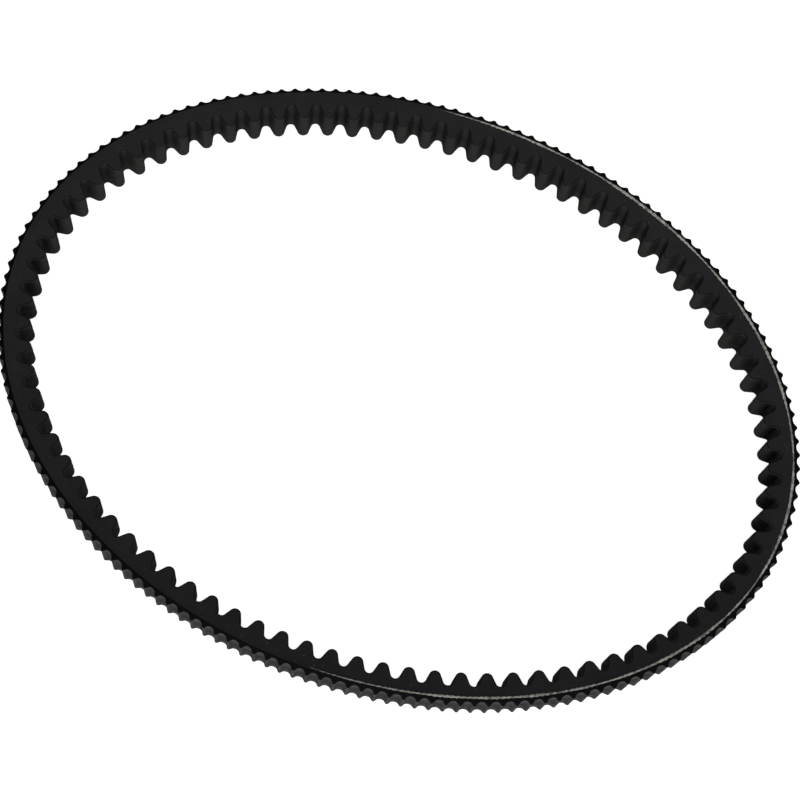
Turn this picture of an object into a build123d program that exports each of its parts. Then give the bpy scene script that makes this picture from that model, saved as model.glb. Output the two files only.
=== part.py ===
from build123d import *
import os
from math import cos, pi, radians, sin, tan

# A raw-edge V-belt for a variable-speed drive, with rounded cogs on its inside and small cogs on
# its back. It lies on its side in the oval that it takes when nothing holds it. +Z runs across
# the belt's width, +X along the long axis of the oval, and the origin is the middle of the loop
# at the middle of the width. The belt is bonded from layers: a facing fabric over each row of
# cogs, a cogged rubber layer under each fabric, and between them the adhesion rubber that holds
# one tensile cord, wound round the loop as a helix.
#
# Sizes are in millimetres and angles in degrees. "Depth" is the distance from the cord line,
# positive towards the back of the belt. "Share" is how far round the loop a point is, from 0 at
# +X to 1, anticlockwise seen from +Z.

# Loop
INNER_COG_COUNT = 83
INNER_COG_PITCH = 12.7
INNER_COG_PHASE = 0.4
OUTER_COG_COUNT = 161
OUTER_COG_PHASE = 0.7
OVAL_RATIO = 1.381

# Cross-section: a flank on each side, with a bevelled shoulder above it
HALF_WIDTH_AT_CORD = 15.4
FLANK_ANGLE = 13.0
SHOULDER_DEPTH = 0.7
SHOULDER_BEVEL_ANGLE = 45.0

# Cogs, as depths of tip and root and radii of both on the finished surface. Draft is the angle
# between the direction of depth and the end of the tip's or root's arc.
INNER_TIP_DEPTH = -12.0
INNER_ROOT_DEPTH = -5.4
INNER_TIP_RADIUS = 2.9
INNER_ROOT_RADIUS = 2.2
INNER_TIP_DRAFT = 20.0
INNER_ROOT_DRAFT = 26.0
OUTER_TIP_DEPTH = 4.0
OUTER_ROOT_DEPTH = 2.0
OUTER_TIP_RADIUS = 0.9
OUTER_ROOT_RADIUS = 3.2
OUTER_TIP_DRAFT = 35.0
OUTER_ROOT_DRAFT = 58.0

# Layers
INNER_FABRIC_THICKNESS = 0.5
OUTER_FABRIC_THICKNESS = 0.4
ADHESION_BACK_DEPTH = 1.0
ADHESION_INSIDE_DEPTH = -1.3

# Tensile cord
CORD_DIAMETER = 1.0
CORD_PITCH = 1.85
CORD_COVER_AT_FLANK = 0.15
CORD_POINTS_PER_TURN = 24
CORD_OUTLINE_ARCS = 4

# Points on each smooth closed curve, and the spare height that each layer has before it is cut
# to the cross-section
SMOOTH_CURVE_POINTS = 96
TRIM_ALLOWANCE = 1.0

# The ellipse whose perimeter is the belt's cord length, by Ramanujan's formula
LOOP_LENGTH = INNER_COG_COUNT * INNER_COG_PITCH
OVAL_TERM = 3 * ((OVAL_RATIO - 1) / (OVAL_RATIO + 1)) ** 2
SEMI_AXIS_SUM = LOOP_LENGTH / pi / (1 + OVAL_TERM / (10 + (4 - OVAL_TERM) ** 0.5))
SHORT_SEMI_AXIS = SEMI_AXIS_SUM / (1 + OVAL_RATIO)
LONG_SEMI_AXIS = OVAL_RATIO * SHORT_SEMI_AXIS

SHOULDER_HALF_WIDTH = HALF_WIDTH_AT_CORD + SHOULDER_DEPTH * tan(radians(FLANK_ANGLE))

with BuildLine() as loop_line:
    EllipticalCenterArc((0, 0), LONG_SEMI_AXIS, SHORT_SEMI_AXIS, arc_size=360)
cord_loop = loop_line.edge()


def on_loop(share, depth, along=0.0):
    """A point in the belt's mid plane, at this share and depth, moved along the loop."""
    tangent = cord_loop % share
    outward = Vector(tangent.Y, -tangent.X)
    return (cord_loop @ share) + outward * depth + tangent * along


def half_width(depth):
    """Half the belt's width at this depth."""
    if depth <= SHOULDER_DEPTH:
        return HALF_WIDTH_AT_CORD + depth * tan(radians(FLANK_ANGLE))
    return SHOULDER_HALF_WIDTH - (depth - SHOULDER_DEPTH) * tan(radians(SHOULDER_BEVEL_ANGLE))


def round_end(share, end_depth, radius, side, draft):
    """An arc that touches end_depth. Side is 1 where it bulges outwards and -1 where inwards."""
    centre_depth = end_depth - side * radius
    side_depth = centre_depth + side * radius * sin(radians(draft))
    reach = radius * cos(radians(draft))
    before = on_loop(share, side_depth, -reach)
    after = on_loop(share, side_depth, reach)
    ThreePointArc(before, on_loop(share, end_depth), after)
    return before, after


def cogged_curve(
    count, phase, tip_depth, root_depth, tip_radius, root_radius, tip_draft, root_draft
):
    """A closed curve with an arc over each cog's tip, one in each root, and straight sides."""
    side = 1 if tip_depth > root_depth else -1
    sides = []
    for cog in range(count):
        tip_share = (cog + phase) / count % 1
        root_share = (cog + phase + 0.5) / count % 1
        sides += round_end(tip_share, tip_depth, tip_radius, side, tip_draft)
        sides += round_end(root_share, root_depth, root_radius, -side, root_draft)
    joins = sides[1:] + sides[:1]
    for start, end in zip(joins[::2], joins[1::2]):
        Line(start, end)


def inner_cogs(ply=0.0):
    """The curve of the inner cogs, with a ply of this thickness taken off."""
    cogged_curve(
        INNER_COG_COUNT,
        INNER_COG_PHASE,
        INNER_TIP_DEPTH + ply,
        INNER_ROOT_DEPTH + ply,
        INNER_TIP_RADIUS - ply,
        INNER_ROOT_RADIUS + ply,
        INNER_TIP_DRAFT,
        INNER_ROOT_DRAFT,
    )


def outer_cogs(ply=0.0):
    """The curve of the outer cogs, with a ply of this thickness taken off."""
    cogged_curve(
        OUTER_COG_COUNT,
        OUTER_COG_PHASE,
        OUTER_TIP_DEPTH - ply,
        OUTER_ROOT_DEPTH - ply,
        OUTER_TIP_RADIUS - ply,
        OUTER_ROOT_RADIUS + ply,
        OUTER_TIP_DRAFT,
        OUTER_ROOT_DRAFT,
    )


def smooth_curve(depth):
    """A closed curve that stays at one depth."""
    points = [on_loop(point / SMOOTH_CURVE_POINTS, depth) for point in range(SMOOTH_CURVE_POINTS)]
    Spline(*points, periodic=True)


def layer(back_curve, back_size, inside_curve, inside_size):
    """The layer between two curves, cut to the belt's cross-section."""
    with BuildPart() as bonded:
        with BuildSketch(Plane.XY.offset(-SHOULDER_HALF_WIDTH - TRIM_ALLOWANCE)):
            with BuildLine():
                back_curve(back_size)
            make_face()
            with BuildLine():
                inside_curve(inside_size)
            make_face(mode=Mode.SUBTRACT)
        extrude(amount=2 * (SHOULDER_HALF_WIDTH + TRIM_ALLOWANCE))
        add(envelope.part, mode=Mode.INTERSECT)
    return bonded


def write(part, name):
    """Labels one piece and writes its STEP file."""
    part.label = name
    export_step(part, f"parts/{name}.step")


os.makedirs("parts", exist_ok=True)

# The belt's cross-section, with spare depth above and below the cogs, carried round the loop
section_depths = [INNER_TIP_DEPTH - TRIM_ALLOWANCE, SHOULDER_DEPTH, OUTER_TIP_DEPTH + TRIM_ALLOWANCE]
upper_side = [(depth, half_width(depth)) for depth in section_depths]
lower_side = [(depth, -half_width(depth)) for depth in reversed(section_depths)]
with BuildPart() as envelope:
    with BuildSketch(Plane(origin=cord_loop @ 0, x_dir=(1, 0, 0), z_dir=(0, -1, 0))):
        with BuildLine():
            Polyline(*upper_side, *lower_side, close=True)
        make_face()
    sweep(path=cord_loop)

# Tensile cord: one helix, whose ends stay just under the flanks
cord_top = HALF_WIDTH_AT_CORD - CORD_COVER_AT_FLANK - CORD_DIAMETER / 2
cord_turns = 2 * cord_top / CORD_PITCH
cord_point_count = round(cord_turns * CORD_POINTS_PER_TURN)
cord_points = []
for cord_point in range(cord_point_count + 1):
    cord_share = cord_turns * cord_point / cord_point_count
    cord_height = Vector(0, 0, cord_share * CORD_PITCH - cord_top)
    cord_points.append(on_loop(cord_share % 1, 0) + cord_height)
with BuildLine() as cord_line:
    Spline(*cord_points)
cord_curve = cord_line.edge()
cord_pieces = round(cord_turns)
cord_path = Wire(
    [cord_curve.trim(turn / cord_pieces, (turn + 1) / cord_pieces) for turn in range(cord_pieces)]
)
outline_arc = 360 / CORD_OUTLINE_ARCS
with BuildPart() as tensile_cord:
    with BuildSketch(Plane(origin=cord_curve @ 0, z_dir=cord_curve % 0)):
        with BuildLine():
            for arc in range(CORD_OUTLINE_ARCS):
                CenterArc((0, 0), CORD_DIAMETER / 2, arc * outline_arc, outline_arc)
        make_face()
    sweep(path=cord_path, is_frenet=True)
write(tensile_cord.part, "tensile_cord")

# Adhesion rubber, moulded round the cord
adhesion_layer = layer(smooth_curve, ADHESION_BACK_DEPTH, smooth_curve, ADHESION_INSIDE_DEPTH)
with BuildPart() as adhesion_rubber:
    add(adhesion_layer.part)
    add(tensile_cord.part, mode=Mode.SUBTRACT)
write(adhesion_rubber.part, "adhesion_rubber")

# Rubber that is compressed on the inside of a bend, with the inner cogs, and its facing fabric
inner_cog_rubber = layer(smooth_curve, ADHESION_INSIDE_DEPTH, inner_cogs, INNER_FABRIC_THICKNESS)
write(inner_cog_rubber.part, "inner_cog_rubber")
inner_facing_fabric = layer(inner_cogs, INNER_FABRIC_THICKNESS, inner_cogs, 0)
write(inner_facing_fabric.part, "inner_facing_fabric")

# Rubber that is stretched on the back of a bend, with the outer cogs, and its facing fabric
outer_cog_rubber = layer(outer_cogs, OUTER_FABRIC_THICKNESS, smooth_curve, ADHESION_BACK_DEPTH)
write(outer_cog_rubber.part, "outer_cog_rubber")
outer_facing_fabric = layer(outer_cogs, 0, outer_cogs, OUTER_FABRIC_THICKNESS)
write(outer_facing_fabric.part, "outer_facing_fabric")
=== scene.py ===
import math

import bpy
import numpy as np
from mathutils import Matrix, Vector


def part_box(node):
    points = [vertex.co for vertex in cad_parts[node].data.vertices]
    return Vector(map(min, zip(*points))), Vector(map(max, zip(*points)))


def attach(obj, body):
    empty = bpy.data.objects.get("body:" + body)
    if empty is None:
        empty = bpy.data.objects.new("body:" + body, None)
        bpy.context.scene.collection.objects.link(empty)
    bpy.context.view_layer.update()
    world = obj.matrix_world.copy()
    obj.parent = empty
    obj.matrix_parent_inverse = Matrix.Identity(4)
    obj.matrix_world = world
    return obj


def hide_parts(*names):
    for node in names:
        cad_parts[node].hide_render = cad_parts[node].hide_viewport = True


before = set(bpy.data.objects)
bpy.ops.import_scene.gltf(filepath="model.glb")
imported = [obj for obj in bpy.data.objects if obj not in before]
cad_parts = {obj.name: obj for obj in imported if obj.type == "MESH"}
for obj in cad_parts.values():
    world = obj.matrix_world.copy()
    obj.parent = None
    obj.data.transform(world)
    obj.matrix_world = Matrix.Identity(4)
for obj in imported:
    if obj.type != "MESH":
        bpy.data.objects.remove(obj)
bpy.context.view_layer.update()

# A double-cogged V-belt lying on its side. Named lengths are in metres, and named angles in degrees.
# "Share" is how far round the loop a point is, from 0 at +X to 1, anticlockwise seen from above.
# "Depth" is its distance from the tensile cord's line, positive towards the back of the belt, and
# "height" its distance above the belt's mid-plane.

MM = 0.001

# Belt -------------------------------------------------------------------------------------------

# The belt's sizes, the same as those of the CAD
INNER_COGS = 83
OUTER_COGS = 161
ADHESION_BACK = 1.0 * MM
ADHESION_INSIDE = -1.3 * MM
FLANK_TAPER = math.tan(math.radians(13.0))
SHOULDER_DEPTH = 0.7 * MM
INNER_PLY = 0.5 * MM
OUTER_PLY = 0.4 * MM

# Half the long and the short axis of the cord line's oval, and half the width over the shoulders
adhesion_low, adhesion_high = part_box("adhesion_rubber")
LONG_AXIS = adhesion_high.x - ADHESION_BACK
SHORT_AXIS = adhesion_high.y - ADHESION_BACK
SHOULDER_HALF_WIDTH = adhesion_high.z

# Wear of the belt's edges, and unevenness of its facing plies
INNER_EDGE_ROUND = 0.9 * MM
OUTER_EDGE_ROUND = 0.22 * MM
INNER_RIPPLE = 0.035 * MM
OUTER_RIPPLE = 0.03 * MM
RIPPLE_WAVES = 14
RIPPLE_GAIN = 1.4

# Fineness of the meshes
WIDTH_STEPS = 26
FLANK_STEPS = 9
EDGE_STEPS = 6
LOOP_STEPS = 40000
SHARP_ANGLE = 35.0
TOUCHING = 0.0001 * MM


class Cogs:
    """One row of cogs: where the tips are round the loop, and the shape of one cog.

    The phase is the first tip's place, in pitches. Tip and root are depths, and a draft is the angle
    between the side of the cog and the direction of its depth, where that arc ends.
    """

    def __init__(self, count, phase, tip, root, tip_radius, root_radius, tip_draft, root_draft):
        self.count = count
        self.phase = phase
        self.tip = tip
        self.root = root
        self.tip_radius = tip_radius
        self.root_radius = root_radius
        self.tip_draft = tip_draft
        self.root_draft = root_draft
        self.tip_reach = tip_radius * math.cos(math.radians(tip_draft))
        self.root_reach = root_radius * math.cos(math.radians(root_draft))
        self.side = 1.0 if tip > root else -1.0

    def under_ply(self, ply):
        """The same cogs with a ply of this thickness taken off."""
        return Cogs(
            self.count,
            self.phase,
            self.tip - self.side * ply,
            self.root - self.side * ply,
            self.tip_radius - ply,
            self.root_radius + ply,
            self.tip_draft,
            self.root_draft,
        )

    def stations(self, arc_steps, side_steps):
        """Shares round the loop, close together where the cog's outline turns."""
        pitch = LOOP_LENGTH / self.count
        tip_end = self.tip_reach / pitch
        root_end = 0.5 - self.root_reach / pitch
        tip_turn = np.linspace(0, math.radians(90 - self.tip_draft), arc_steps, endpoint=False)
        root_turn = np.linspace(math.radians(90 - self.root_draft), 0, arc_steps, endpoint=False)
        tip_part = np.sin(tip_turn) * self.tip_radius / pitch
        side_part = np.linspace(tip_end, root_end, side_steps, endpoint=False)
        root_part = 0.5 - np.sin(root_turn) * self.root_radius / pitch
        half = np.concatenate([tip_part, side_part, root_part, [0.5]])
        cell = np.concatenate([half, 1 - half[-2:0:-1]])
        shares = (np.arange(self.count)[:, None] + self.phase + cell[None, :]) / self.count
        return np.sort(shares.ravel() % 1)

    def depth(self, share):
        """The depth of the cogged surface at these shares."""
        cell = np.abs((share * self.count - self.phase + 0.5) % 1 - 0.5)
        bend = curvature(share)
        pitch = LOOP_LENGTH / self.count
        tip_centre = self.tip - self.side * self.tip_radius
        root_centre = self.root + self.side * self.root_radius
        tip_end = self.tip_reach / pitch / (1 + tip_centre * bend)
        root_end = 0.5 - self.root_reach / pitch / (1 + root_centre * bend)
        tip_along = np.clip(cell / tip_end, 0, 1) * self.tip_reach
        root_along = np.clip((0.5 - cell) / (0.5 - root_end), 0, 1) * self.root_reach
        on_tip = tip_centre + self.side * np.sqrt(self.tip_radius**2 - tip_along**2)
        on_root = root_centre - self.side * np.sqrt(self.root_radius**2 - root_along**2)
        blend = np.clip((cell - tip_end) / (root_end - tip_end), 0, 1)
        return on_tip + (on_root - on_tip) * blend


def loop_table():
    """The angles round the oval, and the length along it up to each."""
    angle = np.linspace(0, 2 * math.pi, LOOP_STEPS + 1)
    x = LONG_AXIS * np.cos(angle)
    y = SHORT_AXIS * np.sin(angle)
    length = np.concatenate([[0], np.cumsum(np.hypot(np.diff(x), np.diff(y)))])
    return angle, length


LOOP_ANGLE, LOOP_RUN = loop_table()
LOOP_LENGTH = LOOP_RUN[-1]


def loop_angle(share):
    """The oval's angle at these shares."""
    return np.interp((np.asarray(share) % 1) * LOOP_LENGTH, LOOP_RUN, LOOP_ANGLE)


def curvature(share):
    """The oval's curvature at these shares."""
    angle = loop_angle(share)
    speed = np.hypot(LONG_AXIS * np.sin(angle), SHORT_AXIS * np.cos(angle))
    return LONG_AXIS * SHORT_AXIS / speed**3


def place(share, depth, height):
    """Points at these shares, depths and heights, as an array of x, y, z."""
    angle = loop_angle(share)
    outward_x = SHORT_AXIS * np.cos(angle)
    outward_y = LONG_AXIS * np.sin(angle)
    size = np.hypot(outward_x, outward_y)
    x = LONG_AXIS * np.cos(angle) + depth * outward_x / size
    y = SHORT_AXIS * np.sin(angle) + depth * outward_y / size
    return np.stack([x, y, height + 0 * x], axis=-1)


def half_width(depth):
    """Half the belt's width at this depth: the flank, then the bevel of the shoulder."""
    flank = SHOULDER_HALF_WIDTH + (depth - SHOULDER_DEPTH) * FLANK_TAPER
    bevel = SHOULDER_HALF_WIDTH - (depth - SHOULDER_DEPTH)
    return np.where(depth < SHOULDER_DEPTH, flank, bevel)


INNER = Cogs(
    INNER_COGS,
    phase=0.4,
    tip=-12.0 * MM,
    root=-5.4 * MM,
    tip_radius=2.9 * MM,
    root_radius=2.2 * MM,
    tip_draft=20.0,
    root_draft=26.0,
)
OUTER = Cogs(
    OUTER_COGS,
    phase=0.7,
    tip=4.0 * MM,
    root=2.0 * MM,
    tip_radius=0.9 * MM,
    root_radius=3.2 * MM,
    tip_draft=35.0,
    root_draft=58.0,
)


# Meshes -----------------------------------------------------------------------------------------


def ripple(share, height, size, seed):
    """A smooth irregular surface that closes round the loop, about this high."""
    rng = np.random.default_rng(seed)
    total = np.zeros(np.broadcast(share, height).shape)
    for _ in range(RIPPLE_WAVES):
        turns = rng.integers(40, 420)
        length = rng.uniform(4, 22) * MM
        phase_along, phase_across = rng.uniform(0, 2 * math.pi, 2)
        wave_along = np.sin(2 * math.pi * turns * share + phase_along)
        wave_across = np.sin(2 * math.pi * height / length + phase_across)
        total = total + wave_along * wave_across
    return size * total / math.sqrt(RIPPLE_WAVES) * RIPPLE_GAIN


def tube_faces(stations, points, joined):
    """Faces between neighbouring cross-sections, and from the last back to the first if joined."""
    station = np.arange(stations if joined else stations - 1)[:, None]
    point = np.arange(points)[None, :]
    after = (station + 1) % stations
    beside = (point + 1) % points
    corners = [
        station * points + point,
        after * points + point,
        after * points + beside,
        station * points + beside,
    ]
    return np.stack(corners, axis=-1).reshape(-1, 4)


def ring_mesh(name, shares, depth, height):
    """A closed ring: one closed cross-section at each share, joined to the next all the way round.

    Each corner keeps its length along the loop, its height across the belt and its depth, as the
    values "along", "across" and "deep" for the materials.
    """
    stations, points = depth.shape
    verts = place(shares[:, None], depth, height).reshape(-1, 3)
    faces = tube_faces(stations, points, joined=True)
    along = shares * LOOP_LENGTH
    along_after = np.append(along[1:], along[0] + LOOP_LENGTH)
    here = np.repeat(along[:, None], points, 1)
    there = np.repeat(along_after[:, None], points, 1)
    corner_values = {
        "along": np.stack([here, there, there, here], axis=-1).reshape(-1),
        "across": height.reshape(-1)[faces].reshape(-1),
        "deep": depth.reshape(-1)[faces].reshape(-1),
    }
    return mesh_object(name, verts, faces, corner_values)


def mesh_object(name, verts, faces, corner_values=None):
    """A mesh from an array of points and one of faces, smooth except across its sharp edges."""
    mesh = bpy.data.meshes.new(name)
    sides = faces.shape[1]
    mesh.vertices.add(len(verts))
    mesh.vertices.foreach_set("co", verts.astype(np.float32).ravel())
    mesh.loops.add(faces.size)
    mesh.loops.foreach_set("vertex_index", faces.astype(np.int32).ravel())
    mesh.polygons.add(len(faces))
    mesh.polygons.foreach_set("loop_start", np.arange(0, faces.size, sides, dtype=np.int32))
    mesh.polygons.foreach_set("use_smooth", np.ones(len(faces), dtype=bool))
    mesh.update(calc_edges=True)
    for key, values in (corner_values or {}).items():
        mesh.attributes.new(key, "FLOAT", "CORNER").data.foreach_set("value", values.astype(np.float32))
    mesh.validate()
    mesh.set_sharp_from_angle(angle=math.radians(SHARP_ANGLE))
    obj = bpy.data.objects.new(name, mesh)
    bpy.context.scene.collection.objects.link(obj)
    return obj


def worn_edge(radius=0.0, cover=0.0, thickness=math.inf):
    """How far in from a layer's face, and how far in from the flank, its worn edge runs.

    The radius is that of the whole worn edge. The cover is what lies over this layer's face, and
    the thickness is the layer's own, so it may hold all of the rounding, a part of it or none.
    """
    if radius <= cover:
        return np.zeros(1), np.zeros(1)
    start = math.asin(1 - min(cover + thickness, radius) / radius)
    end = math.asin(1 - cover / radius)
    angle = np.linspace(start, end, EDGE_STEPS)
    return radius * (1 - np.sin(angle)) - cover, radius * (1 - np.cos(angle))


def layer_section(share, back, inside, back_edge, inside_edge, seed):
    """Cross-sections of one layer: the depths and heights of their points.

    Each is a closed line of points that runs along the upper flank from the back to the inside,
    down the inside surface, along the lower flank and up the back surface. The two edges hold what
    worn_edge takes. A seed gives the surfaces that have a worn edge a slight ripple.
    """
    back = back[:, None]
    inside = inside[:, None]
    high_in, high_drop = worn_edge(**back_edge)
    low_in, low_drop = worn_edge(**inside_edge)
    high_corner = back - high_in[::-1]
    low_corner = inside + low_in
    flank_start = high_corner[:, -1:]
    flank_end = low_corner[:, :1]
    flank = flank_start + (flank_end - flank_start) * np.linspace(0, 1, FLANK_STEPS)[None, 1:-1]
    flank_drop = np.full(flank.shape[1], high_drop[0] + low_drop[0])
    side_drop = np.concatenate([high_drop[::-1] + low_drop[0], flank_drop, low_drop + high_drop[0]])
    side_depth = np.concatenate([high_corner, flank, low_corner], axis=1)
    side_height = half_width(side_depth) - side_drop
    apart = np.hypot(np.diff(side_depth, axis=1), np.diff(side_height, axis=1)).max(axis=0)
    kept = np.append(True, apart > TOUCHING)
    side_depth = side_depth[:, kept]
    side_height = side_height[:, kept]
    sweep = np.linspace(1, -1, WIDTH_STEPS)[None, 1:-1]
    inside_height = side_height[:, -1:] * sweep
    back_height = -side_height[:, :1] * sweep
    inside_depth = inside + 0 * sweep
    back_depth = back + 0 * sweep
    if seed and inside_edge:
        inside_depth = inside_depth + ripple(share[:, None], inside_height, INNER_RIPPLE, seed)
    if seed and back_edge:
        back_depth = back_depth + ripple(share[:, None], back_height, OUTER_RIPPLE, seed + 1)
    depth = [side_depth, inside_depth, side_depth[:, ::-1], back_depth]
    height = [side_height, inside_height, -side_height[:, ::-1], back_height]
    return np.concatenate(depth, axis=1), np.concatenate(height, axis=1)


def build_layer(name, shares, back, inside, back_edge=None, inside_edge=None, seed=0):
    """One endless layer between these depths of its back and its inside surface."""
    depth, height = layer_section(shares, back, inside, back_edge or {}, inside_edge or {}, seed)
    piece = ring_mesh(name, shares, depth, height)
    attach(piece, "root")
    return piece


# Materials --------------------------------------------------------------------------------------

# A surface begins to look like a flank at the first of these values of towards_flank, and does so
# fully at the second: the rubber, whose bevels and worn edges fall short of it, and the facing plies
BEVEL_FACING = (0.80, 0.90)
CUT_PLY_FACING = (0.55, 0.70)

# Colours that lie over a material's own two
STREAK_LIGHT = (0.046, 0.047, 0.050, 1)
STREAK_DARK = (0.012, 0.012, 0.013, 1)
RUBBER_DUST = (0.16, 0.155, 0.14, 1)
BEVEL_AND_EDGE_BLACK = (0.004, 0.004, 0.005, 1)
THREAD_GAP = (0.010, 0.010, 0.011, 1)
# Painted shade deep in the grooves, away from their open ends
GROOVE_PAINTED_SHADE = (0.010, 0.010, 0.011, 1)
# Painted shade on the sides of the cogs
COG_SIDE_PAINTED_SHADE = (0.008, 0.008, 0.009, 1)
FABRIC_DUST = (0.30, 0.295, 0.28, 1)
CORD_STAIN = (0.075, 0.072, 0.062, 1)
FLOOR_LIT = (0.45, 0.45, 0.45, 1)
FLOOR_SEEN = ((0.80, 0.80, 0.80, 1), (0.82, 0.82, 0.82, 1))
WHITE = (1, 1, 1, 1)


class Nodes:
    """A small helper that adds shader nodes and links them."""

    def __init__(self, name):
        self.material = bpy.data.materials.new(name)
        self.material.use_nodes = True
        self.tree = self.material.node_tree
        self.tree.nodes.clear()
        self.output = self.tree.nodes.new("ShaderNodeOutputMaterial")

    def add(self, kind, inputs=None, **settings):
        node = self.tree.nodes.new(kind)
        for key, value in settings.items():
            setattr(node, key, value)
        for key, value in (inputs or {}).items():
            self.feed(node, key, value)
        return node

    def feed(self, node, key, value):
        if isinstance(value, bpy.types.NodeSocket):
            self.tree.links.new(value, node.inputs[key])
        else:
            node.inputs[key].default_value = value

    def corner_value(self, name):
        return self.add("ShaderNodeAttribute", attribute_name=name).outputs["Fac"]

    def math(self, operation, a, b=0.0):
        return self.add("ShaderNodeMath", {0: a, 1: b}, operation=operation).outputs[0]

    def noise(self, vector, scale, detail, roughness=0.55):
        inputs = {"Vector": vector, "Scale": scale, "Detail": detail, "Roughness": roughness}
        return self.add("ShaderNodeTexNoise", inputs).outputs["Fac"]

    def remap(self, value, low, high, to_low, to_high):
        """The value carried from one range to another, and held at its ends."""
        inputs = {"Value": value, 1: low, 2: high, 3: to_low, 4: to_high}
        return self.add("ShaderNodeMapRange", inputs).outputs["Result"]

    def mix(self, factor, a, b):
        """Colour a at factor 0, and colour b at factor 1."""
        node = self.add("ShaderNodeMix", data_type="RGBA")
        self.feed(node, 0, factor)
        self.feed(node, 6, a)
        self.feed(node, 7, b)
        return node.outputs[2]

    def vector(self, x, y, z):
        return self.add("ShaderNodeCombineXYZ", {"X": x, "Y": y, "Z": z}).outputs[0]

    def camera_ray(self):
        return self.add("ShaderNodeLightPath").outputs["Is Camera Ray"]

    def towards_flank(self):
        """How squarely the surface faces straight up or straight down: 1 fully, 0 not at all."""
        normal = self.add("ShaderNodeNewGeometry").outputs["True Normal"]
        upward = self.add("ShaderNodeSeparateXYZ", {"Vector": normal}).outputs["Z"]
        return self.math("ABSOLUTE", upward)

    def position(self):
        return self.add("ShaderNodeNewGeometry").outputs["Position"]

    def towards_loop(self):
        """How squarely the surface faces into or out of the loop: 1 at a tip or root, 0 on a flank."""
        scale = (1 / LONG_AXIS**2, 1 / SHORT_AXIS**2, 0)
        outward = self.add("ShaderNodeVectorMath", {0: self.position(), 1: scale}, operation="MULTIPLY")
        unit = self.add("ShaderNodeVectorMath", {0: outward.outputs[0]}, operation="NORMALIZE")
        normal = self.add("ShaderNodeNewGeometry").outputs["Normal"]
        dot = self.add("ShaderNodeVectorMath", {0: unit.outputs[0], 1: normal}, operation="DOT_PRODUCT")
        return self.math("ABSOLUTE", dot.outputs["Value"])

    def bump(self, height, distance, strength, normal=None):
        inputs = {"Height": height, "Distance": distance, "Strength": strength}
        if normal is not None:
            inputs["Normal"] = normal
        return self.add("ShaderNodeBump", inputs).outputs["Normal"]

    def surface(self, **inputs):
        keys = {key.replace("_", " "): value for key, value in inputs.items()}
        shader = self.add("ShaderNodeBsdfPrincipled", keys)
        self.tree.links.new(shader.outputs[0], self.output.inputs["Surface"])
        return self.material


def ground_rubber(name, dark, light):
    """Rubber cut and ground on its flanks: matte, faintly streaked along the belt, a little dusty.

    The bevels and the worn edges are coloured almost black.
    """
    n = Nodes(name)
    place_at = n.position()
    cloud = n.noise(place_at, scale=60.0, detail=3.0)
    grain = n.noise(place_at, scale=2400.0, detail=5.0, roughness=0.65)
    colour = n.mix(n.remap(cloud, 0.32, 0.68, 0.0, 1.0), dark, light)
    streak_at = n.vector(
        n.math("MULTIPLY", n.corner_value("along"), 110.0),
        n.math("MULTIPLY", n.corner_value("deep"), 2600.0),
        n.math("MULTIPLY", n.corner_value("across"), 300.0),
    )
    streak = n.noise(streak_at, scale=1.0, detail=4.0, roughness=0.6)
    colour = n.mix(n.remap(streak, 0.54, 0.82, 0.0, 0.55), colour, STREAK_LIGHT)
    colour = n.mix(n.remap(streak, 0.22, 0.42, 0.5, 0.0), colour, STREAK_DARK)
    speck = n.noise(place_at, scale=850.0, detail=2.0, roughness=0.5)
    colour = n.mix(n.remap(speck, 0.71, 0.79, 0.0, 0.6), colour, RUBBER_DUST)
    facing = n.towards_flank()
    # The bevels and worn edges, which face neither straight up nor straight down, are coloured almost
    # black
    colour = n.mix(n.remap(facing, *BEVEL_FACING, 0.92, 0.0), colour, BEVEL_AND_EDGE_BLACK)
    shine = n.remap(facing, *BEVEL_FACING, 0.03, 0.2)
    roughness = n.remap(grain, 0.3, 0.7, 0.52, 0.76)
    normal = n.bump(streak, distance=0.05 * MM, strength=0.3)
    normal = n.bump(grain, distance=0.05 * MM, strength=0.6, normal=normal)
    return n.surface(Base_Color=colour, Roughness=roughness, Normal=normal, Specular_IOR_Level=shine)


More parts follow.
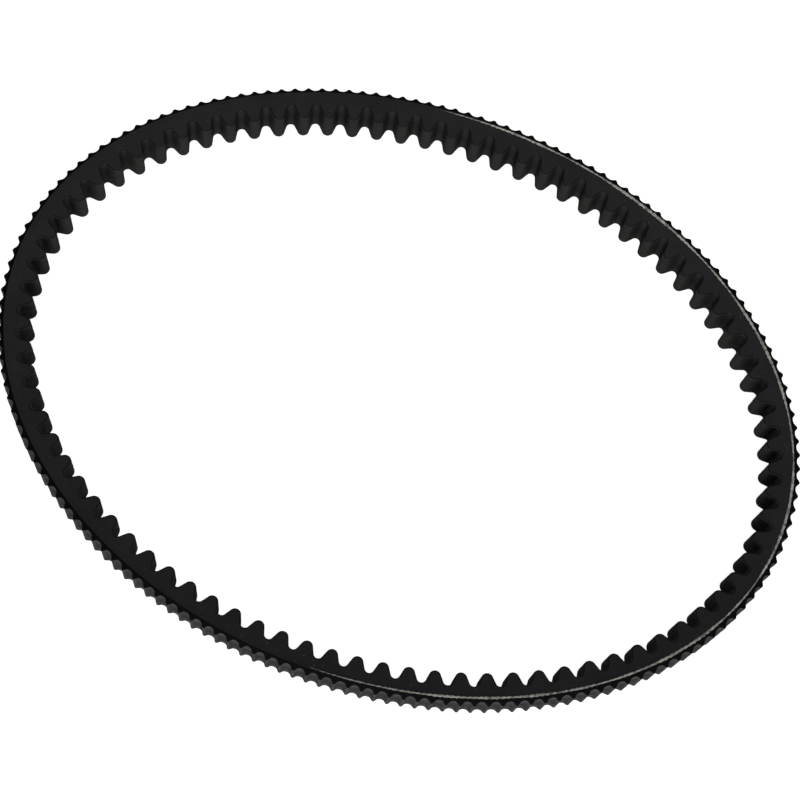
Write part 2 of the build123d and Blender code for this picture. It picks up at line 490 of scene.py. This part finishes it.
def soaked_fabric(name, dark, light, edge, pitch, groove, open_end, dusty=0.0):
    """Woven facing fabric soaked with rubber, its threads at 45 degrees to the belt.

    On the flanks the same ply is seen cut across, in the colour edge. The grooves are darkened by
    painted shade: it comes in between the two depths of groove, and goes out towards the flanks
    between the two heights of open_end. Painted shade also makes the sides of the cogs a little
    darker than their tips and roots.
    """
    n = Nodes(name)
    place_at = n.position()
    along, across = n.corner_value("along"), n.corner_value("across")
    turn = math.pi / pitch * math.sqrt(0.5)
    warp = n.math("MULTIPLY", n.math("ADD", along, across), turn)
    weft = n.math("MULTIPLY", n.math("SUBTRACT", along, across), turn)
    crossing = n.math("MULTIPLY", n.math("SINE", warp), n.math("SINE", weft))
    over = n.remap(crossing, -0.4, 0.4, 0.0, 1.0)
    warp_height = n.math("ABSOLUTE", n.math("COSINE", warp))
    weft_height = n.math("ABSOLUTE", n.math("COSINE", weft))
    lift = n.math("MULTIPLY", n.math("SUBTRACT", warp_height, weft_height), over)
    weave = n.math("ADD", weft_height, lift)
    cloud = n.noise(place_at, scale=170.0, detail=4.0)
    patch = n.noise(place_at, scale=620.0, detail=4.0, roughness=0.6)
    fuzz = n.noise(place_at, scale=4200.0, detail=3.0, roughness=0.6)
    colour = n.mix(n.remap(cloud, 0.34, 0.66, 0.0, 1.0), dark, light)
    colour = n.mix(n.remap(weave, 0.15, 0.9, 0.45, 0.0), colour, THREAD_GAP)
    colour = n.mix(n.remap(patch, 0.5, 0.72, 0.0, dusty), colour, FABRIC_DUST)
    middle = n.remap(n.math("ABSOLUTE", across), *open_end, 1.0, 0.0)
    sunk = n.remap(n.corner_value("deep"), *groove, 0.0, 0.6)
    # Painted shade: the grooves grow darker with depth, away from their open ends at the flanks
    colour = n.mix(n.math("MULTIPLY", middle, sunk), colour, GROOVE_PAINTED_SHADE)
    # Painted shade on the sides of the cogs, which face neither into nor out of the loop
    colour = n.mix(n.remap(n.towards_loop(), 0.45, 0.9, 0.35, 0.0), colour, COG_SIDE_PAINTED_SHADE)
    facing = n.towards_flank()
    colour = n.mix(n.remap(facing, *CUT_PLY_FACING, 0.0, 1.0), colour, edge)
    roughness = n.remap(cloud, 0.35, 0.65, 0.45, 0.62)
    normal = n.bump(weave, distance=0.10 * MM, strength=0.6)
    normal = n.bump(patch, distance=0.10 * MM, strength=0.5, normal=normal)
    normal = n.bump(fuzz, distance=0.03 * MM, strength=0.5, normal=normal)
    shine = n.remap(facing, *CUT_PLY_FACING, 0.35, 0.04)
    return n.surface(Base_Color=colour, Roughness=roughness, Normal=normal, Specular_IOR_Level=shine)


def cord_fibre(name, dark, light):
    """Pale cord cut open along its length: hairy, and stained with rubber in patches."""
    n = Nodes(name)
    place_at = n.position()
    lump = n.noise(place_at, scale=420.0, detail=3.0)
    hair = n.noise(place_at, scale=5200.0, detail=4.0, roughness=0.7)
    colour = n.mix(n.remap(hair, 0.36, 0.62, 0.0, 1.0), dark, light)
    colour = n.mix(n.remap(lump, 0.34, 0.60, 0.75, 0.0), colour, CORD_STAIN)
    normal = n.bump(hair, distance=0.06 * MM, strength=0.8)
    return n.surface(Base_Color=colour, Roughness=0.85, Normal=normal, Specular_IOR_Level=0.2)


side_rubber = ground_rubber("side_rubber", (0.026, 0.0265, 0.029, 1), (0.034, 0.0355, 0.037, 1))
cushion_rubber = ground_rubber("cushion_rubber", (0.025, 0.0255, 0.027, 1), (0.032, 0.033, 0.034, 1))
inner_fabric = soaked_fabric(
    "inner_fabric",
    (0.034, 0.032, 0.029, 1),
    (0.056, 0.052, 0.048, 1),
    (0.014, 0.014, 0.015, 1),
    pitch=0.75 * MM,
    groove=(-9.5 * MM, -7.0 * MM),
    open_end=(1.5 * MM, 9.0 * MM),
)
outer_fabric = soaked_fabric(
    "outer_fabric",
    (0.055, 0.055, 0.056, 1),
    (0.14, 0.14, 0.137, 1),
    (0.006, 0.006, 0.007, 1),
    pitch=0.65 * MM,
    groove=(3.6 * MM, 2.4 * MM),
    open_end=(3.0 * MM, 9.5 * MM),
    dusty=0.6,
)
cord_surface = cord_fibre("cord_fibre", (0.60, 0.58, 0.50, 1), (0.96, 0.94, 0.86, 1))


def dress(piece, material):
    """Gives a new piece its only material."""
    piece.data.materials.clear()
    piece.data.materials.append(material)


# Rubber and fabric layers -----------------------------------------------------------------------

inner_shares = INNER.stations(arc_steps=9, side_steps=8)
outer_shares = OUTER.stations(arc_steps=6, side_steps=5)
inner_rubber_depth = INNER.under_ply(INNER_PLY).depth(inner_shares)
outer_rubber_depth = OUTER.under_ply(OUTER_PLY).depth(outer_shares)

inner_rubber = build_layer(
    "inner_cog_body",
    inner_shares,
    ADHESION_INSIDE + 0 * inner_shares,
    inner_rubber_depth,
    inside_edge={"radius": INNER_EDGE_ROUND, "cover": INNER_PLY},
)
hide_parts("inner_cog_rubber")
dress(inner_rubber, side_rubber)

inner_facing = build_layer(
    "inner_facing",
    inner_shares,
    inner_rubber_depth,
    INNER.depth(inner_shares),
    inside_edge={"radius": INNER_EDGE_ROUND, "thickness": INNER_PLY},
    seed=11,
)
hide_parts("inner_facing_fabric")
dress(inner_facing, inner_fabric)

outer_rubber = build_layer(
    "outer_cog_body", outer_shares, outer_rubber_depth, ADHESION_BACK + 0 * outer_shares
)
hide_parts("outer_cog_rubber")
dress(outer_rubber, side_rubber)

outer_facing = build_layer(
    "outer_facing",
    outer_shares,
    OUTER.depth(outer_shares),
    outer_rubber_depth,
    back_edge={"radius": OUTER_EDGE_ROUND, "thickness": OUTER_PLY},
    seed=23,
)
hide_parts("outer_facing_fabric")
dress(outer_facing, outer_fabric)

for node, material in (("adhesion_rubber", cushion_rubber), ("tensile_cord", cord_surface)):
    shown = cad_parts[node]
    shown.data.materials.clear()
    shown.data.materials.append(material)

# Cord cut open by the flanks --------------------------------------------------------------------

# Each open length runs this share of the loop to both sides of its middle, and the fade part of
# that, at its end, is where it thins out
CORD_SPAN = 0.262
UPPER_CORD_MIDDLE = 0.018
LOWER_CORD_MIDDLE = 0.482
LINT_MIDDLE = -0.05
UPPER_FLANK = 1.0
LOWER_FLANK = -1.0
CORD_TWIST = 2.65 * MM
CORD_STEP = 0.3 * MM
OPEN_CORD_HALF_WIDTH = 0.58 * MM
OPEN_CORD_HEIGHT = 0.20 * MM
OPEN_CORD_POINTS = 10
CORD_TIP_SIZE = 0.02
FADE_PART = 0.22
GAP_WAVES = 5
CORD_HAIR_BAND = (-0.6 * MM, 0.6 * MM)
LINT_BAND = (-4.8 * MM, -0.6 * MM)
FLANK_COS = math.cos(math.atan(FLANK_TAPER))
FLANK_SIN = math.sin(math.atan(FLANK_TAPER))


def on_flank(share, aside, proud, flank):
    """Points at these distances from the cord line along the flank and out of it."""
    depth = aside * FLANK_COS - proud * FLANK_SIN
    height = float(half_width(np.array(0.0))) + aside * FLANK_SIN + proud * FLANK_COS
    return place(share, depth, flank * height)


def open_cord(name, middle, flank, seed):
    """A length of cord that the flank has cut open, thinning out at both ends."""
    rng = np.random.default_rng(seed)
    count = int(2 * CORD_SPAN * LOOP_LENGTH / CORD_STEP)
    along_span = np.linspace(-1, 1, count)
    share = middle + CORD_SPAN * along_span
    run = share * LOOP_LENGTH
    fade = np.clip((1 - np.abs(along_span)) / FADE_PART, 0, 1) ** 0.6
    gaps = np.zeros(count)
    for _ in range(GAP_WAVES):
        gaps += np.sin(run / rng.uniform(6, 30) / MM * 2 * math.pi / 3 + rng.uniform(0, 6.28))
    patchy = np.clip(1.0 + 0.22 * gaps - 0.6 * (1 - fade) * (rng.random(count) > 0.5), 0.12, 1.3)
    bead = 0.72 + 0.28 * np.abs(np.sin(math.pi * run / CORD_TWIST))
    wide = OPEN_CORD_HALF_WIDTH * fade * patchy * bead * rng.uniform(0.85, 1.12, count)
    tall = OPEN_CORD_HEIGHT * (0.25 + 0.75 * fade) * bead * rng.uniform(0.8, 1.15, count)
    sway = 0.07 * MM * np.sin(2 * math.pi * run / CORD_TWIST) + rng.normal(0, 0.02, count) * MM
    around = np.linspace(0, 2 * math.pi, OPEN_CORD_POINTS, endpoint=False)[None, :]
    aside = sway[:, None] + wide[:, None] * np.cos(around)
    proud = tall[:, None] * np.sin(around) - 0.2 * tall[:, None]
    verts = on_flank(share[:, None], aside, proud, flank).reshape(-1, 3)
    for end in (verts[:OPEN_CORD_POINTS], verts[-OPEN_CORD_POINTS:]):
        tip = end.mean(axis=0)
        end[:] = tip + (end - tip) * CORD_TIP_SIZE
    faces = tube_faces(count, OPEN_CORD_POINTS, joined=False)
    if flank < 0:
        faces = faces[:, ::-1]
    piece = mesh_object(name, verts, faces)
    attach(piece, "root")
    dress(piece, cord_surface)


def rod_faces():
    """A three-sided rod: points 0 to 2 are one end, 3 to 5 the other, 6 and 7 the ends' middles."""
    sides = ((0, 1), (1, 2), (2, 0))
    lengthwise = [face for a, b in sides for face in ((a, b, b + 3), (a, b + 3, a + 3))]
    near_end = [(b, a, 6) for a, b in sides]
    far_end = [(a + 3, b + 3, 7) for a, b in sides]
    return np.array(lengthwise + near_end + far_end)


def hairs(name, middle, flank, count, seed, band):
    """Loose fibres as thin rods on the flank, in a band between two distances from the cord line."""
    rng = np.random.default_rng(seed)
    verts = np.zeros((count, 8, 3))
    share = middle + CORD_SPAN * rng.uniform(-0.95, 0.95, count)
    length = rng.uniform(0.4, 1.6, count) * MM
    swing = rng.normal(0, 0.5, count)
    aside = rng.uniform(band[0], band[1], count)
    rise = rng.uniform(0.03, 0.18, count) * MM
    thick = rng.uniform(0.018, 0.032, count) * MM
    for ring, part in enumerate((0.0, 1.0)):
        along = share + (part - 0.5) * length * np.cos(swing) / LOOP_LENGTH
        for corner in range(3):
            turn = 2 * math.pi * corner / 3
            side = aside + (part - 0.5) * length * np.sin(swing) + thick * math.cos(turn)
            up = rise * part + thick * math.sin(turn) + 0.02 * MM
            verts[:, ring * 3 + corner] = on_flank(along, side, up, flank)
    verts[:, 6] = verts[:, 0:3].mean(axis=1)
    verts[:, 7] = verts[:, 3:6].mean(axis=1)
    faces = (np.arange(count)[:, None, None] * verts.shape[1] + rod_faces()[None]).reshape(-1, 3)
    if flank < 0:
        faces = faces[:, ::-1]
    piece = mesh_object(name, verts.reshape(-1, 3), faces)
    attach(piece, "root")
    dress(piece, cord_surface)


open_cord("open_cord_upper", UPPER_CORD_MIDDLE, UPPER_FLANK, seed=31)
open_cord("open_cord_lower", LOWER_CORD_MIDDLE, LOWER_FLANK, seed=32)
hairs("cord_hairs_upper", UPPER_CORD_MIDDLE, UPPER_FLANK, count=260, seed=33, band=CORD_HAIR_BAND)
hairs("cord_hairs_lower", LOWER_CORD_MIDDLE, LOWER_FLANK, count=260, seed=34, band=CORD_HAIR_BAND)
hairs("flank_lint_upper", LINT_MIDDLE, UPPER_FLANK, count=46, seed=35, band=LINT_BAND)
hairs("flank_lint_lower", LINT_MIDDLE, LOWER_FLANK, count=46, seed=36, band=LINT_BAND)

# Studio -----------------------------------------------------------------------------------------

# To the camera the floor and the world are plain white. The floor's glow doesn't reach the belt,
# and the world lights it only dimly.
FLOOR_HALF_SIDE = 3.0
FLOOR_CLEARANCE = 0.3 * MM
FLOOR_HEIGHT = adhesion_low.z - FLOOR_CLEARANCE
FLOOR_GLOW = 0.93
WORLD_LEVEL = 0.055

scene = bpy.context.scene
floor_corners = np.array([[-1, -1, 0], [1, -1, 0], [1, 1, 0], [-1, 1, 0]]) * FLOOR_HALF_SIDE
floor = mesh_object("floor", floor_corners + np.array([0, 0, FLOOR_HEIGHT]), np.array([[0, 1, 2, 3]]))
floor_nodes = Nodes("floor")
floor_mottle = floor_nodes.noise(floor_nodes.position(), scale=3.0, detail=2.0)
floor_colour = floor_nodes.mix(floor_mottle, *FLOOR_SEEN)
floor_white = floor_nodes.surface(
    Base_Color=floor_nodes.mix(floor_nodes.camera_ray(), FLOOR_LIT, floor_colour),
    Roughness=0.85,
    Specular_IOR_Level=0.05,
    Emission_Color=WHITE,
    Emission_Strength=floor_nodes.math("MULTIPLY", floor_nodes.camera_ray(), FLOOR_GLOW),
)
floor.data.materials.append(floor_white)

world = bpy.data.worlds.new("studio")
world.use_nodes = True
world_nodes = world.node_tree.nodes
world_path = world_nodes.new("ShaderNodeLightPath")
world_range = world_nodes.new("ShaderNodeMapRange")
world_range.inputs["To Min"].default_value = WORLD_LEVEL
world_range.inputs["To Max"].default_value = 1.0
world.node_tree.links.new(world_path.outputs["Is Camera Ray"], world_range.inputs["Value"])
world.node_tree.links.new(world_range.outputs["Result"], world_nodes["Background"].inputs["Strength"])
world_nodes["Background"].inputs["Color"].default_value = WHITE
scene.world = world


def aim(obj, place_at, target):
    """Puts a light or the camera in its place, looking at the target and held level."""
    obj.location = place_at
    direction = np.array(target) - np.array(place_at)
    yaw = math.atan2(direction[1], direction[0]) - math.pi / 2
    pitch = math.atan2(direction[2], math.hypot(direction[0], direction[1])) + math.pi / 2
    obj.rotation_euler = (pitch, 0, yaw)


def soft_light(name, place_at, size, watts):
    """A round area light of this diameter, aimed at the middle of the belt."""
    lamp = bpy.data.lights.new(name, "AREA")
    lamp.shape = "DISK"
    lamp.size = size
    lamp.energy = watts
    obj = bpy.data.objects.new(name, lamp)
    scene.collection.objects.link(obj)
    aim(obj, place_at, (0, 0, 0))


soft_light("front_light", (0.35, -2.1, 0.75), size=1.1, watts=19.0)
soft_light("top_light", (0.3, -0.3, 2.4), size=1.4, watts=6.0)
soft_light("side_light", (2.0, -0.2, 1.1), size=1.1, watts=6.0)
soft_light("back_light", (-0.6, 2.1, 0.9), size=1.1, watts=5.0)

# Camera -----------------------------------------------------------------------------------------

# It looks down at the belt, and its roll makes the long axis of the loop fall to the right
CAMERA_TARGET = (0.00151, -0.00183, 0.0)
CAMERA_DISTANCE = 1.24375
CAMERA_AZIMUTH = -7.1308
CAMERA_ELEVATION = 76.2127
CAMERA_ROLL = 13.3356
CAMERA_LENS = 116.252

lens = bpy.data.cameras.new("camera")
lens.sensor_width = 36.0
lens.lens = CAMERA_LENS
camera = bpy.data.objects.new("camera", lens)
scene.collection.objects.link(camera)
turn = math.radians(CAMERA_AZIMUTH)
rise = math.radians(CAMERA_ELEVATION)
look = np.array([math.sin(turn) * math.cos(rise), math.cos(turn) * math.cos(rise), -math.sin(rise)])
aim(camera, np.array(CAMERA_TARGET) - look * CAMERA_DISTANCE, CAMERA_TARGET)
level = camera.rotation_euler.to_matrix()
camera.rotation_euler = (level @ Matrix.Rotation(math.radians(CAMERA_ROLL), 3, "Z")).to_euler()
scene.camera = camera
scene.view_settings.view_transform = "Standard"
